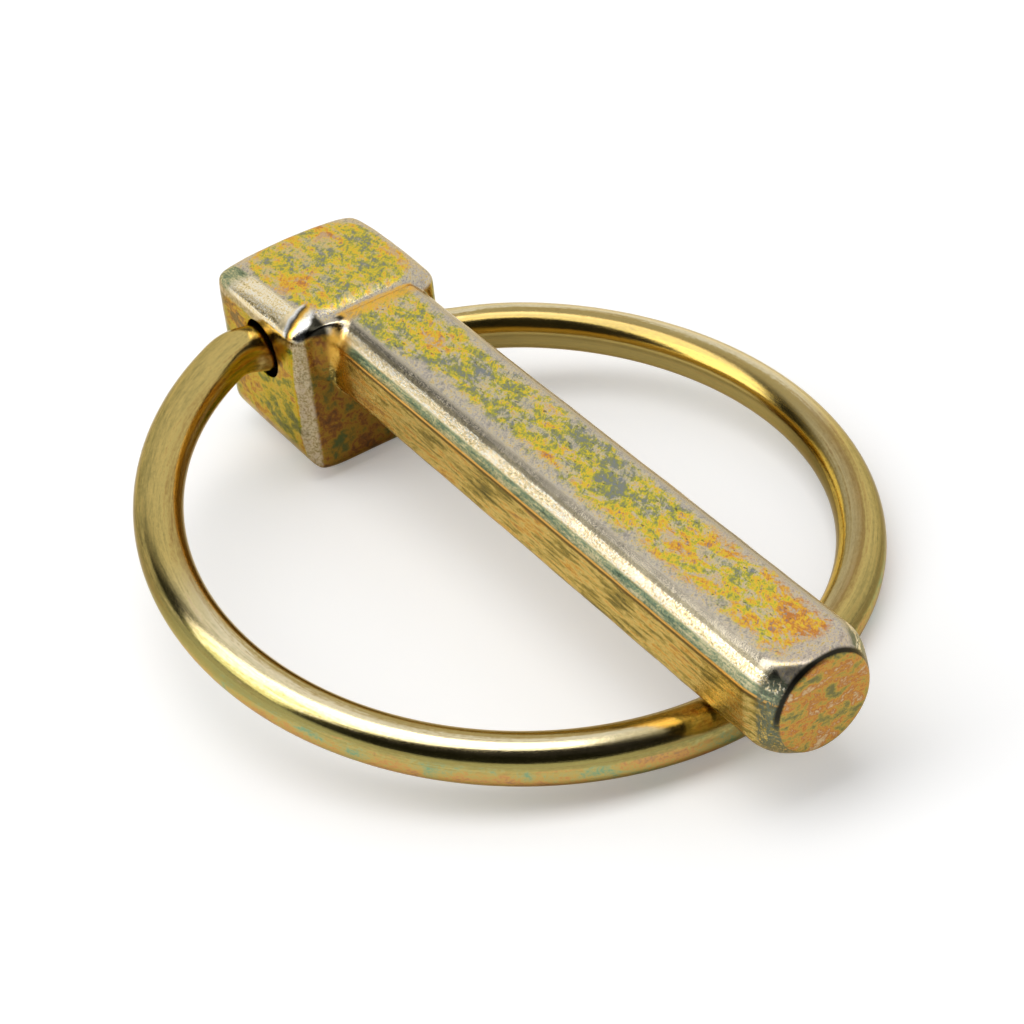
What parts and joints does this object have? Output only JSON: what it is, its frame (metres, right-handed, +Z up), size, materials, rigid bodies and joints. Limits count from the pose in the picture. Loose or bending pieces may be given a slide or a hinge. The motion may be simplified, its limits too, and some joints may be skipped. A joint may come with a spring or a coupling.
{
  "type": "linch pin",
  "caption": "Linch pin with a square forged head, a flattened round shank and a sprung wire ring that swings on the head and closes under the shank.",
  "frame": {"origin": "on the shank's axis, in the plane of the head's bearing face", "axes": "+X along the shank's length to the tip, level; +Z up from the surface the pin lies on; +Y level, away from the side to which the head is set off. The shank's axis dips 3 degrees to the tip."},
  "size_m": [0.0728, 0.0583, 0.016],
  "materials": {
    "forging": "forged steel with worn yellow-chromate zinc plating, mottled gold, green and grey",
    "wire": "spring wire with smooth yellow-chromate zinc plating, brassy gold"
  },
  "bodies": {
    "pin_body": {"pin": "forging"},
    "ring_body": {"ring": "wire"}
  },
  "joints": [
    {"name": "ring_swing", "type": "hinge", "parent": "pin_body", "child": "ring_body", "pos_m": [-0.00531, -0.0009, -0.0021], "axis": [0.1043, 0.9541, -0.2807], "range_deg": [0, 344]}
  ]
}
